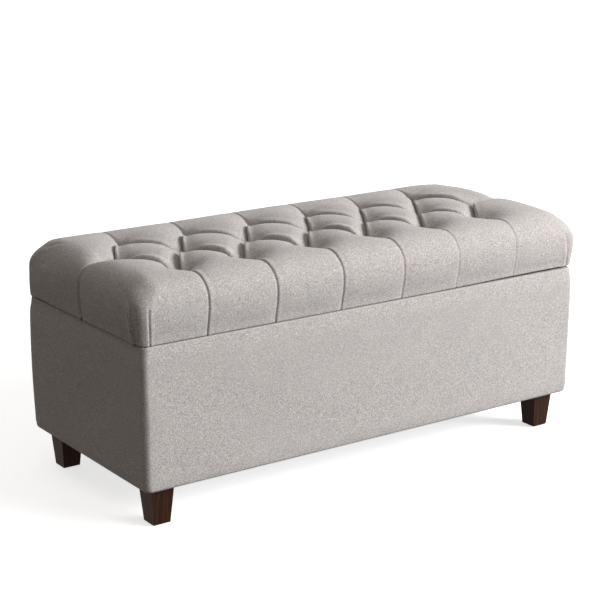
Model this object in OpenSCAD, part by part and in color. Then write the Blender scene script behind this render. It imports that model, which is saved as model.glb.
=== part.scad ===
// Upholstered storage bench: a fabric-covered box on four tapered wooden legs,
// closed by a deep-tufted padded lid that swings up on two butt hinges
// and is held open by two slotted stays.
// Millimetres. Origin on the floor under the middle of the bench,
// +X along the width, the front faces -Y, +Z up.

/* [Base] */
// Width of the base over its fabric
base_w = 1067; // [1040:1:1200]
// Depth of the base over its fabric, front to back
base_d = 462; // [440:1:520]
// Height of the base's top rim above the floor
rim_z = 364; // [340:1:400]
// Radius of the base's upright corners
base_corner_r = 10; // [8:1:13]
// Radius of the base's outer top edge
rim_edge_r = 6; // [5:0.5:7]

/* [Legs] */
// Height of a leg with its glide
leg_h = 80; // [65:1:110]
// Width of a leg where it meets the base
leg_top_w = 50; // [44:1:52]
// Width of a leg at the floor
leg_foot_w = 37; // [30:1:44]
// Distance from the base's sides to a leg's middle
leg_inset = 46; // [44:1:50]
// Thickness of the plastic glide under a leg
glide_t = 2.5; // [2:0.5:4]

/* [Lid] */
// Thickness of the lid, underside to crown
lid_h = 118; // [105:1:130]
// How far the lid's sides stand proud of the base
lid_overhang = 5; // [5:0.5:7]
// Radius of the lid's top edges
lid_top_r = 50; // [35:1:55]
// Radius of the lid's rolled bottom edge
lid_bottom_r = 10; // [10:0.5:14]
// Radius of the lid's upright corners
lid_corner_r = 25; // [18:1:30]

/* [Tufting] */
// Distance between neighbouring tufts in a row
tuft_pitch = 151; // [130:1:154]
// Distance between the rows of tufts
tuft_row = 120; // [90:1:125]
// Depth of a tuft below the crown
tuft_depth = 54; // [40:1:70]

/* [Boards] */
// Thickness of the plywood sides
side_t = 15; // [12:1:18]
// Thickness of the plywood floor
floor_t = 9; // [6:1:12]
// Thickness of the plywood lid board
lid_board_t = 12; // [9:1:15]

/* [Soft layers] */
// Thickness of the cover fabric
cloth_t = 1.5; // [1:0.1:1.5]
// Thickness of the foam sheets on the base
pad_t = 5; // [4:0.5:5]
// Thickness of the polyester batting over the lid's foam
batting_t = 8; // [6:0.5:8]

/* [Hidden] */
$fn = 48;
EPS = 0.01;
CUT = 200;                       // length of a cutting tool that runs past what it cuts

LEFT = -1;
RIGHT = 1;
FRONT = -1;
BACK = 1;

FABRIC = [0.74, 0.72, 0.70];
LINING = [0.16, 0.15, 0.15];
PLY = [0.80, 0.66, 0.47];
PINE = [0.86, 0.74, 0.55];
LEG_WOOD = [0.22, 0.14, 0.10];
FOAM = [0.93, 0.90, 0.72];
BATTING = [0.95, 0.95, 0.94];
STEEL = [0.70, 0.70, 0.72];
RUBBER = [0.12, 0.12, 0.12];
TWINE = [0.88, 0.85, 0.78];

// base: levels and plan
skin_t = cloth_t + pad_t;
dust_t = 0.8;
panel_w = base_w - 2 * skin_t;
panel_d = base_d - 2 * skin_t;
cover_z = leg_h + dust_t;
panel_z = cover_z + cloth_t;
panel_top = rim_z - cloth_t;
inner_w = panel_w - 2 * side_t;
inner_d = panel_d - 2 * side_t;
cleat_h = 19;
cleat_t = 20;
block_w = 80;
floor_z = panel_z + cleat_h;
liner_t = 1.2;
cover_tuck = 40;                 // width of the fabric turned in under the base

leg_x = base_w / 2 - leg_inset;
leg_y = base_d / 2 - leg_inset;
bolt_r = 4;
bolt_top = floor_z - 2;
bolt_in_leg = 35;
t_nut_flange_r = 11;
t_nut_flange_t = 1.5;
t_nut_barrel_r = 5.2;
t_nut_barrel_h = 10;
t_nut_z = floor_z - t_nut_flange_t - t_nut_barrel_h;

// lid: levels and plan
lid_gap = 4;                     // rim to the lid's underside
lid_z = rim_z + lid_gap;
lid_w = base_w + 2 * lid_overhang;
lid_d = base_d + 2 * lid_overhang;
board_z = lid_z + cloth_t;
board_top = board_z + lid_board_t;
crown_z = lid_z + lid_h;
lid_cover_tuck = 25;             // width of the fabric turned in under the board
well_r = 12;
cup_r = 11.5;
cup_floor_z = crown_z - tuft_depth;
twine_r = 1;
washer_r = 9;

// hinges
axis_y = base_d / 2 + 2;
axis_z = rim_z + lid_gap / 2;
hinge_x = 330;
hinge_l = 70;
leaf_w = 22;
leaf_t = 1.5;
barrel_r = 3;
knuckles = 5;
knuckle_l = hinge_l / knuckles;
knuckle_gap = 0.4;
knuckle_clear = 0.4;
pin_r = 1.6;
pin_play = 0.05;
pin_head_r = 2.6;
pin_head_t = 1.2;
screw_r = 1.75;
screw_head_r = 3.4;
leaf_screw_y = axis_y - 16;

// slotted stays: the two pivots are equally far from the hinge axis,
// so an arm turns by exactly half of the lid's angle
stay_reach = 125;
lid_pivot_angle = 5.5;           // below the horizontal at rest
stay_spread = 20;                // angle between the pivots at rest
lid_open = 90;
lid_pivot = [axis_y - stay_reach * cos(lid_pivot_angle), axis_z - stay_reach * sin(lid_pivot_angle)];
base_pivot = [
    axis_y - stay_reach * cos(lid_pivot_angle + stay_spread),
    axis_z - stay_reach * sin(lid_pivot_angle + stay_spread)
];
arm_angle = atan2(base_pivot[1] - lid_pivot[1], base_pivot[0] - lid_pivot[0]);
slot_near = 2 * stay_reach * sin(stay_spread / 2);
slot_far = 2 * stay_reach * sin((stay_spread + lid_open) / 2);
slot_spare = 0.3;
arm_half_w = 8;
arm_t = 2;
arm_x = inner_w / 2 - 6.5;       // inner face of an arm
stay_pin_r = 2.5;
slot_half_w = stay_pin_r + 0.1;
rivet_play = 0.05;
stay_head_r = 5;
plate_t = 2.2;
plate_x = arm_x - 3;

function tufts() = concat(
    [for (row = [-1, 1]) for (i = [-2.5:1:2.5]) [i * tuft_pitch, row * tuft_row]],
    [for (i = [-3:1:3]) [i * tuft_pitch, 0]]
);

// ---------- shared shapes ----------

// Flat outline with its own radius at the bottom and the top corners
module rounded_outline(w, z0, z1, r_low, r_high) {
    translate([-w / 2, z0 + r_low]) square([w, z1 - z0 - r_low - r_high]);
    translate([-w / 2 + r_high, z1 - r_high - EPS]) square([w - 2 * r_high, r_high + EPS]);
    translate([-w / 2 + r_low, z0]) square([w - 2 * r_low, r_low + EPS]);
    for (side = [-1, 1]) {
        translate([side * (w / 2 - r_high), z1 - r_high]) circle(r_high);
        if (r_low > 0) translate([side * (w / 2 - r_low), z0 + r_low]) circle(r_low);
    }
}

// Flat rectangle with round corners
module rounded_plan(w, d, r) {
    square([w - 2 * r, d], center = true);
    square([w, d - 2 * r], center = true);
    for (x = [-1, 1]) for (y = [-1, 1])
        translate([x * (w / 2 - r), y * (d / 2 - r)]) circle(r);
}

// Block whose upright, top and bottom edges are each round
module soft_block(w, d, z0, z1, r_plan, r_low, r_high) {
    intersection() {
        translate([0, 0, z0 - 1]) linear_extrude(z1 - z0 + 2) rounded_plan(w, d, r_plan);
        translate([-w, 0, 0]) rotate([90, 0, 90]) linear_extrude(2 * w)
            rounded_outline(d, z0, z1, r_low, r_high);
        translate([0, d, 0]) rotate([90, 0, 0]) linear_extrude(2 * d)
            rounded_outline(w, z0, z1, r_low, r_high);
    }
}

// The base's outer form, drawn in by inset
module base_form(inset) {
    soft_block(base_w - 2 * inset, base_d - 2 * inset, cover_z + inset, rim_z - inset,
        base_corner_r - inset, 0, rim_edge_r - inset);
}

// The lid's outer form, drawn in by inset
module lid_form(inset) {
    soft_block(lid_w - 2 * inset, lid_d - 2 * inset, lid_z + inset, crown_z - inset,
        lid_corner_r - inset, lid_bottom_r - inset, lid_top_r - inset);
}

module box(x0, x1, y0, y1, z0, z1) {
    translate([x0, y0, z0]) cube([x1 - x0, y1 - y0, z1 - z0]);
}

// The space between the base's four boards, drawn in by inset
module inner_box(z0, z1, inset = 0) {
    half_w = inner_w / 2 - inset;
    half_d = inner_d / 2 - inset;
    box(-half_w, half_w, -half_d, half_d, z0, z1);
}

// Cylinder along X from x0 to x1, through the point [y, z]
module rod_x(x0, x1, at, r) {
    translate([x0, at[0], at[1]]) rotate([0, 90, 0]) cylinder(h = x1 - x0, r = r);
}

// Countersunk screw, its head's face at the origin and its shank downwards
module screw(length, r = screw_r, head_r = screw_head_r) {
    head_h = head_r - r;
    translate([0, 0, -head_h]) cylinder(h = head_h, r1 = r, r2 = head_r);
    translate([0, 0, -length]) cylinder(h = length - head_h + EPS, r = r);
}

// Wire staple, its crown's underside at the origin and its legs upwards
module staple(along_y) {
    rotate([0, 0, along_y ? 90 : 0]) {
        translate([-5, -0.6, -0.6]) cube([10, 1.2, 0.6]);
        for (x = [-5, 4]) translate([x, -0.6, -EPS]) cube([1, 1.2, 7]);
    }
}

// Staples round a rectangle of w by d, under a sheet at height z
module staple_ring(w, d, z, count_x, count_y) {
    for (i = [0:count_x - 1]) for (side = [-1, 1])
        translate([(i + 0.5) * w / count_x - w / 2, side * d / 2, z]) staple(false);
    for (i = [0:count_y - 1]) for (side = [-1, 1])
        translate([side * w / 2, (i + 0.5) * d / count_y - d / 2, z]) staple(true);
}

// ---------- base: boards ----------

module long_panel(side) {
    color(PLY) intersection() {
        box(-panel_w / 2, panel_w / 2, -panel_d / 2, panel_d / 2, panel_z, panel_top);
        translate([0, side * (panel_d / 2 - side_t / 2), rim_z / 2])
            cube([base_w, side_t, 2 * rim_z], center = true);
    }
}

module end_panel(side) {
    color(PLY) translate([side * (panel_w / 2 - side_t / 2), 0, (panel_z + panel_top) / 2])
        cube([side_t, inner_d, panel_top - panel_z], center = true);
}

module bottom_panel() {
    color(PLY) inner_box(floor_z, floor_z + floor_t);
}

module long_cleat(side) {
    color(PINE) translate([0, side * (inner_d / 2 - cleat_t / 2), panel_z + cleat_h / 2])
        cube([inner_w - 2 * block_w, cleat_t, cleat_h], center = true);
}

module end_cleat(side) {
    color(PINE) translate([side * (inner_w / 2 - cleat_t / 2), 0, panel_z + cleat_h / 2])
        cube([cleat_t, inner_d - 2 * block_w, cleat_h], center = true);
}

module corner_block(side_x, side_y) {
    x = side_x * (inner_w - block_w) / 2;
    y = side_y * (inner_d - block_w) / 2;
    color(PINE) difference() {
        translate([x, y, panel_z + cleat_h / 2]) cube([block_w, block_w, cleat_h], center = true);
        translate([side_x * leg_x, side_y * leg_y, 0]) {
            cylinder(h = CUT, r = bolt_r + 0.3);
            translate([0, 0, t_nut_z]) cylinder(h = CUT, r = t_nut_barrel_r);
            translate([0, 0, floor_z - t_nut_flange_t]) cylinder(h = CUT, r = t_nut_flange_r);
        }
    }
}

// ---------- base: soft layers ----------

// Foam sheet on the front or the back, which also wraps the corners
module long_padding(side) {
    color(FOAM) intersection() {
        base_form(cloth_t);
        translate([0, side * (panel_d + pad_t) / 2, rim_z / 2])
            cube([base_w, pad_t, 2 * rim_z], center = true);
    }
}

module end_padding(side) {
    color(FOAM) intersection() {
        base_form(cloth_t);
        translate([side * (panel_w + pad_t) / 2, 0, rim_z / 2])
            cube([pad_t, panel_d, 2 * rim_z], center = true);
    }
}

module base_cover() {
    color(FABRIC) difference() {
        base_form(0);
        base_form(cloth_t);
        inner_box(rim_z - CUT, rim_z + CUT);
        translate([0, 0, cover_z])
            cube([base_w - 2 * cover_tuck, base_d - 2 * cover_tuck, CUT], center = true);
    }
}

module storage_liner() {
    color(LINING) difference() {
        inner_box(floor_z + floor_t, rim_z);
        inner_box(floor_z + floor_t + liner_t, rim_z + 1, liner_t);
        rod_x(-base_w / 2, base_w / 2, base_pivot, stay_pin_r);
    }
}

module base_dust_cover() {
    edge = 8;
    color(LINING) difference() {
        translate([0, 0, (leg_h + cover_z) / 2])
            cube([base_w - 2 * edge, base_d - 2 * edge, dust_t], center = true);
        for (x = [-1, 1]) for (y = [-1, 1])
            translate([x * leg_x, y * leg_y, 0]) cylinder(h = CUT, r = bolt_r);
    }
}

module base_staples() {
    color(STEEL) staple_ring(base_w - 26, base_d - 26, leg_h, 14, 5);
}

// ---------- base: legs and fasteners ----------

// Square leg that tapers on all four sides
module leg(side_x, side_y) {
    half_top = leg_top_w / 2;
    half_foot = leg_foot_w / 2;
    taper = [[-half_foot, glide_t], [half_foot, glide_t], [half_top, leg_h], [-half_top, leg_h]];
    color(LEG_WOOD) translate([side_x * leg_x, side_y * leg_y, 0]) intersection() {
        translate([-leg_top_w, 0, 0]) rotate([90, 0, 90]) linear_extrude(2 * leg_top_w) polygon(taper);
        translate([0, leg_top_w, 0]) rotate([90, 0, 0]) linear_extrude(2 * leg_top_w) polygon(taper);
    }
}

module at_legs() {
    for (x = [-1, 1]) for (y = [-1, 1]) translate([x * leg_x, y * leg_y, 0]) children();
}

module leg_glides() {
    color(RUBBER) at_legs() {
        cylinder(h = glide_t, r = 11);
        cylinder(h = glide_t + 15, r = 1.2);
    }
}

module hanger_bolts() {
    bolt_foot = leg_h - bolt_in_leg;
    color(STEEL) at_legs() translate([0, 0, bolt_foot]) cylinder(h = bolt_top - bolt_foot, r = bolt_r);
}

module t_nuts() {
    color(STEEL) at_legs() difference() {
        union() {
            translate([0, 0, floor_z - t_nut_flange_t]) cylinder(h = t_nut_flange_t, r = t_nut_flange_r);
            translate([0, 0, t_nut_z]) cylinder(h = t_nut_barrel_h + EPS, r = t_nut_barrel_r);
        }
        cylinder(h = CUT, r = bolt_r);
    }
}

// Screws through the long panels into the edges of the end panels
module panel_screws() {
    color(STEEL) for (x = [-1, 1]) for (side = [-1, 1]) for (k = [0.2, 0.5, 0.8])
        translate([x * (panel_w / 2 - side_t / 2), side * panel_d / 2, panel_z + k * (panel_top - panel_z)])
            rotate([side < 0 ? 90 : -90, 0, 0]) screw(45, 2, 4);
}

// Screws through the cleats into the panels
module cleat_screws() {
    z = panel_z + cleat_h / 2;
    color(STEEL) {
        for (side = [-1, 1]) for (x = [-0.35, -0.12, 0.12, 0.35])
            translate([x * inner_w, side * (inner_d / 2 - cleat_t), z])
                rotate([side < 0 ? -90 : 90, 0, 0]) screw(30);
        for (side = [-1, 1]) for (y = [-0.15, 0.15])
            translate([side * (inner_w / 2 - cleat_t), y * inner_d, z])
                rotate([0, side < 0 ? 90 : -90, 0]) screw(30);
    }
}

// Soft stops on the rim, just short of the closed lid
module lid_bumpers() {
    bumper_r = 5;
    bumper_h = lid_gap - dust_t - 0.3;
    rim_mid = side_t / 2;
    color(RUBBER) for (x = [-1, 1]) {
        translate([x * 300, -inner_d / 2 - rim_mid, rim_z]) cylinder(h = bumper_h, r = bumper_r);
        translate([x * (inner_w / 2 + rim_mid), -inner_d / 4, rim_z]) cylinder(h = bumper_h, r = bumper_r);
    }
}

// ---------- hinges ----------

// Every second knuckle of the hinge at x, from the one numbered first
module knuckle_row(x, first, r, spare = 0) {
    for (i = [first:2:knuckles - 1]) {
        x0 = x - hinge_l / 2 + i * knuckle_l;
        rod_x(x0 + knuckle_gap / 2 - spare, x0 + knuckle_l - knuckle_gap / 2 + spare, [axis_y, axis_z], r);
    }
}

module hinge_screw_spots(x) {
    for (dx = [-25, 0, 25]) translate([x + dx, leaf_screw_y, 0]) children();
}

module base_leaf_screw_set(x) {
    hinge_screw_spots(x) translate([0, 0, rim_z + leaf_t]) screw(22);
}

module lid_leaf_screw_set(x) {
    hinge_screw_spots(x) translate([0, 0, lid_z - leaf_t]) rotate([180, 0, 0]) screw(11);
}

// A leaf that lies at height z and has the knuckles from the one numbered first
module leaf(x, z, first, bore_r) {
    difference() {
        union() {
            box(x - hinge_l / 2, x + hinge_l / 2, axis_y - leaf_w, axis_y, z, z + leaf_t);
            knuckle_row(x, first, barrel_r);
        }
        knuckle_row(x, 1 - first, barrel_r + knuckle_clear, knuckle_gap);
        rod_x(x - hinge_l, x + hinge_l, [axis_y, axis_z], bore_r);
    }
}

module base_hinge_leaf(side) {
    color(STEEL) difference() {
        leaf(side * hinge_x, rim_z, 0, pin_r);
        base_leaf_screw_set(side * hinge_x);
    }
}

module lid_hinge_leaf(side) {
    color(STEEL) difference() {
        leaf(side * hinge_x, lid_z - leaf_t, 1, pin_r + pin_play);
        lid_leaf_screw_set(side * hinge_x);
    }
}

module base_hinge_screws() {
    color(STEEL) for (side = [-1, 1]) base_leaf_screw_set(side * hinge_x);
}

module lid_hinge_screws() {
    color(STEEL) for (side = [-1, 1]) lid_leaf_screw_set(side * hinge_x);
}

module hinge_pins() {
    half_l = (hinge_l - knuckle_gap) / 2;
    axis = [axis_y, axis_z];
    color(STEEL) for (side = [-1, 1]) {
        x = side * hinge_x;
        rod_x(x - half_l, x + half_l, axis, pin_r);
        rod_x(x - half_l - pin_head_t, x - half_l, axis, pin_head_r);
        rod_x(x + half_l, x + half_l + pin_head_t, axis, pin_head_r);
    }
}

// ---------- stays ----------

// Draws its children as made for the right end, or mirrored for the left
module at_end(side) {
    mirror([side < 0 ? 1 : 0, 0, 0]) children();
}

// Flat bar with round ends, from the origin along +X
module bar_outline(length, r) {
    translate([0, -r]) square([length, 2 * r]);
    circle(r);
    translate([length, 0]) circle(r);
}

module stay_arm(side) {
    color(STEEL) at_end(side) translate([arm_x, 0, 0]) rotate([90, 0, 90]) linear_extrude(arm_t)
        translate(lid_pivot) rotate(arm_angle) difference() {
            bar_outline(slot_far + 4, arm_half_w);
            circle(stay_pin_r + rivet_play);
            translate([slot_near - slot_spare, 0])
                bar_outline(slot_far - slot_near + 2 * slot_spare, slot_half_w);
        }
}

// Shoulder screws in the end panels, on which the slots of the arms slide
module stay_pins() {
    wall = inner_w / 2;
    color(STEEL) for (side = [-1, 1]) at_end(side) {
        rod_x(wall - EPS, wall + 12, base_pivot, 1.8);
        rod_x(arm_x - 1.5, wall, base_pivot, stay_pin_r);
        rod_x(arm_x + arm_t + 0.5, wall - liner_t, base_pivot, stay_head_r);
        rod_x(arm_x - 3, arm_x - 0.5, base_pivot, stay_head_r);
    }
}

module stay_bracket_screw_set(side) {
    at_end(side) for (dy = [-9, 9])
        translate([plate_x - 14, lid_pivot[0] + dy, lid_z - dust_t - leaf_t]) rotate([180, 0, 0]) screw(12);
}

module stay_bracket(side) {
    top = lid_z - dust_t;
    flange_w = 24;
    flange_half = 16;
    ear_r = 9;
    y = lid_pivot[0];
    color(STEEL) difference() {
        at_end(side) {
            box(plate_x - flange_w, plate_x + plate_t, y - flange_half, y + flange_half, top - leaf_t, top);
            difference() {
                union() {
                    rod_x(plate_x, plate_x + plate_t, lid_pivot, ear_r);
                    box(plate_x, plate_x + plate_t, y - ear_r, y + ear_r, lid_pivot[1], top);
                }
                rod_x(plate_x - 1, plate_x + plate_t + 1, lid_pivot, stay_pin_r);
            }
        }
        stay_bracket_screw_set(side);
    }
}

module stay_bracket_screws() {
    color(STEEL) for (side = [-1, 1]) stay_bracket_screw_set(side);
}

module stay_rivets() {
    color(STEEL) for (side = [-1, 1]) at_end(side) {
        rod_x(plate_x, arm_x + arm_t + 0.5, lid_pivot, stay_pin_r);
        rod_x(plate_x - 1.5, plate_x, lid_pivot, stay_head_r);
        rod_x(arm_x + arm_t + 0.5, arm_x + arm_t + 2.5, lid_pivot, stay_head_r);
    }
}

// ---------- lid ----------

module at_tufts() {
    for (t = tufts()) translate([t[0], t[1], 0]) children();
}

module board_block() {
    box(-panel_w / 2, panel_w / 2, -panel_d / 2, panel_d / 2, board_z, board_top);
}

module lid_board() {
    color(PLY) difference() {
        board_block();
        at_tufts() translate([0, 0, lid_z]) cylinder(h = CUT, r = 2 * twine_r);
    }
}

// The foam's form without its wells
module foam_block() {
    intersection() {
        lid_form(cloth_t + batting_t);
        box(-lid_w, lid_w, -lid_d, lid_d, board_top, crown_z);
    }
}

module lid_foam() {
    color(FOAM) difference() {
        foam_block();
        at_tufts() translate([0, 0, lid_z]) cylinder(h = CUT, r = well_r);
    }
}

module lid_batting() {
    color(BATTING) difference() {
        lid_form(cloth_t);
        foam_block();
        board_block();
        translate([0, 0, board_z]) cube([panel_w, panel_d, 2 * cloth_t], center = true);
        at_tufts() translate([0, 0, board_top]) cylinder(h = CUT, r = well_r);
    }
}

module lid_cover() {
    color(FABRIC) difference() {
        union() {
            difference() {
                lid_form(0);
                lid_form(cloth_t);
                translate([0, 0, lid_z]) cube([
                    panel_w - 2 * lid_cover_tuck,
                    panel_d - 2 * lid_cover_tuck,
                    6 * cloth_t
                ], center = true);
            }
            at_tufts() translate([0, 0, cup_floor_z - cloth_t])
                cylinder(h = tuft_depth + cloth_t / 2, r = cup_r);
        }
        at_tufts() translate([0, 0, cup_floor_z]) cylinder(h = CUT, r = cup_r - cloth_t);
    }
}

// The cover sheet under the lid stops short of the hinge leaves
module lid_dust_cover() {
    back_edge = axis_y - leaf_w - 3;
    half_w = lid_w / 2 - lid_bottom_r;
    front_edge = -lid_d / 2 + lid_bottom_r;
    color(LINING) box(-half_w, half_w, front_edge, back_edge, lid_z - dust_t, lid_z);
}

module lid_staples() {
    color(STEEL) staple_ring(lid_w - 62, lid_d - 62, lid_z - dust_t, 14, 5);
}

module tuft_twines() {
    color(TWINE) at_tufts() translate([0, 0, lid_z]) cylinder(h = cup_floor_z - cloth_t - lid_z, r = twine_r);
}

module tuft_washers() {
    color(STEEL) at_tufts() difference() {
        translate([0, 0, board_z - 1.2]) cylinder(h = 1.2, r = washer_r);
        cylinder(h = 3 * CUT, r = twine_r);
    }
}

long_panel(FRONT);  // front_panel
long_panel(BACK);  // back_panel
end_panel(LEFT);  // left_end_panel
end_panel(RIGHT);  // right_end_panel
bottom_panel();
long_cleat(FRONT);  // floor_cleat_front
long_cleat(BACK);  // floor_cleat_back
end_cleat(LEFT);  // floor_cleat_left
end_cleat(RIGHT);  // floor_cleat_right
corner_block(LEFT, FRONT);  // corner_block_front_left
corner_block(RIGHT, FRONT);  // corner_block_front_right
corner_block(LEFT, BACK);  // corner_block_back_left
corner_block(RIGHT, BACK);  // corner_block_back_right
long_padding(FRONT);  // base_padding_front
long_padding(BACK);  // base_padding_back
end_padding(LEFT);  // base_padding_left
end_padding(RIGHT);  // base_padding_right
base_cover();
storage_liner();
base_dust_cover();
base_staples();
leg(LEFT, FRONT);  // leg_front_left
leg(RIGHT, FRONT);  // leg_front_right
leg(LEFT, BACK);  // leg_back_left
leg(RIGHT, BACK);  // leg_back_right
leg_glides();
hanger_bolts();
t_nuts();
panel_screws();
cleat_screws();
lid_bumpers();
base_hinge_leaf(LEFT);  // base_hinge_leaf_left
base_hinge_leaf(RIGHT);  // base_hinge_leaf_right
base_hinge_screws();
hinge_pins();
stay_pins();
lid_board();
lid_foam();
lid_batting();
lid_cover();
lid_dust_cover();
lid_staples();
tuft_twines();
tuft_washers();
lid_hinge_leaf(LEFT);  // lid_hinge_leaf_left
lid_hinge_leaf(RIGHT);  // lid_hinge_leaf_right
lid_hinge_screws();
stay_bracket(LEFT);  // stay_bracket_left
stay_bracket(RIGHT);  // stay_bracket_right
stay_bracket_screws();
stay_rivets();
stay_arm(LEFT);  // stay_arm_left
stay_arm(RIGHT);  // stay_arm_right
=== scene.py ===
"""Looks of the upholstered storage bench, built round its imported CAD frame.

Metres, in the row frame: +X to the right of the front view, the front faces -Y, +Z up.
"""

import math

import bpy
import numpy as np
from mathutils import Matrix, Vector


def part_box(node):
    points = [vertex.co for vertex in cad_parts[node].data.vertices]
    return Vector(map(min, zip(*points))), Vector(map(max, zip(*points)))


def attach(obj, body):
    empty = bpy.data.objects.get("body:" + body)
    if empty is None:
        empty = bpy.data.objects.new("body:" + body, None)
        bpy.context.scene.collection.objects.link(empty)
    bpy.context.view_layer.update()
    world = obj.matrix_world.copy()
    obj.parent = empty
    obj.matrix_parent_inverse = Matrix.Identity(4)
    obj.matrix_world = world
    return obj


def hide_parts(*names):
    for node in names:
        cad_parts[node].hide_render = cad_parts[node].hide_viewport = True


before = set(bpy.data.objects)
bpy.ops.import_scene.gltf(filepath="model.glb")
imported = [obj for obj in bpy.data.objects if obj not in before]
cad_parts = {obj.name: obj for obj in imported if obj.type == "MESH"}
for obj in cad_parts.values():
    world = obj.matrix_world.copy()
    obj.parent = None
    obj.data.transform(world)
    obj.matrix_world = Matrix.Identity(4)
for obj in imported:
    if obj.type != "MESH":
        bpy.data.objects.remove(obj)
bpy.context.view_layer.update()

MM = 0.001


# ---------------------------------------------------------------- camera, floor and light

def add_camera():
    """The main view: from the front left, a little above the seat."""
    data = bpy.data.cameras.new("camera")
    data.lens = 97.08
    data.sensor_width = 36.0
    data.clip_end = 200
    camera = bpy.data.objects.new("camera", data)
    camera.location = (-1.9145, -2.6962, 1.2175)
    azimuth, elevation = math.radians(-35.030), math.radians(15.140)
    camera.rotation_euler = (math.pi / 2 - elevation, 0, azimuth)
    bpy.context.scene.collection.objects.link(camera)
    bpy.context.scene.camera = camera


def add_light(name, kind, towards, energy, colour, place=(0, 0, 0), **settings):
    """A lamp that shines from the direction towards."""
    data = bpy.data.lights.new(name, kind)
    data.energy = energy
    data.color = colour
    for key, value in settings.items():
        setattr(data, key, value)
    lamp = bpy.data.objects.new(name, data)
    lamp.location = place
    lamp.rotation_euler = Vector(towards).to_track_quat("Z", "Y").to_euler()
    bpy.context.scene.collection.objects.link(lamp)


def add_studio():
    scene = bpy.context.scene
    scene.view_settings.view_transform = "Standard"
    world = bpy.data.worlds.new("studio")
    scene.world = world
    world.use_nodes = True
    world.node_tree.nodes["Background"].inputs["Color"].default_value = (1, 1, 1, 1)
    world.node_tree.nodes["Background"].inputs["Strength"].default_value = 1.0
    world.cycles_visibility.diffuse = False
    for name, towards, strength, softness, colour in (
        ("key", (0.53, -0.71, 0.34), 2.10, 34, (1.0, 0.985, 0.985)),
        ("top", (0.25, 0.05, 0.95), 0.57, 90, (1.0, 0.99, 0.97)),
        ("fill", (-0.80, -0.34, 0.50), 0.52, 120, (1.0, 0.88, 0.79)),
        ("back_fill", (0.22, 0.95, 0.16), 0.5, 50, (1.0, 0.95, 0.90)),
    ):
        add_light(name, "SUN", towards, strength, colour, angle=math.radians(softness))
    place, target = (2.5, -2.1, 1.5), (0.5, -0.2, 0.3)
    add_light("side_light", "AREA", Vector(place) - Vector(target), 96, (1.0, 0.985, 0.98), place, size=1.2)
    reach = 60
    mesh = bpy.data.meshes.new("floor")
    corners = [(x * reach, y * reach, 0) for x, y in ((-1, -1), (1, -1), (1, 1), (-1, 1))]
    mesh.from_pydata(corners, [], [(0, 1, 2, 3)])
    floor = bpy.data.objects.new("floor", mesh)
    scene.collection.objects.link(floor)
    floor.visible_diffuse = False
    material = bpy.data.materials.new("floor")
    material.use_nodes = True
    shader = material.node_tree.nodes["Principled BSDF"]
    shader.inputs["Base Color"].default_value = (0.97, 0.97, 0.97, 1)
    shader.inputs["Roughness"].default_value = 0.9
    shader.inputs["Specular IOR Level"].default_value = 0.0
    shader.inputs["Emission Color"].default_value = (1, 1, 1, 1)
    shader.inputs["Emission Strength"].default_value = 0.68
    mesh.materials.append(material)


# ---------------------------------------------------------------- material helpers

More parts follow.
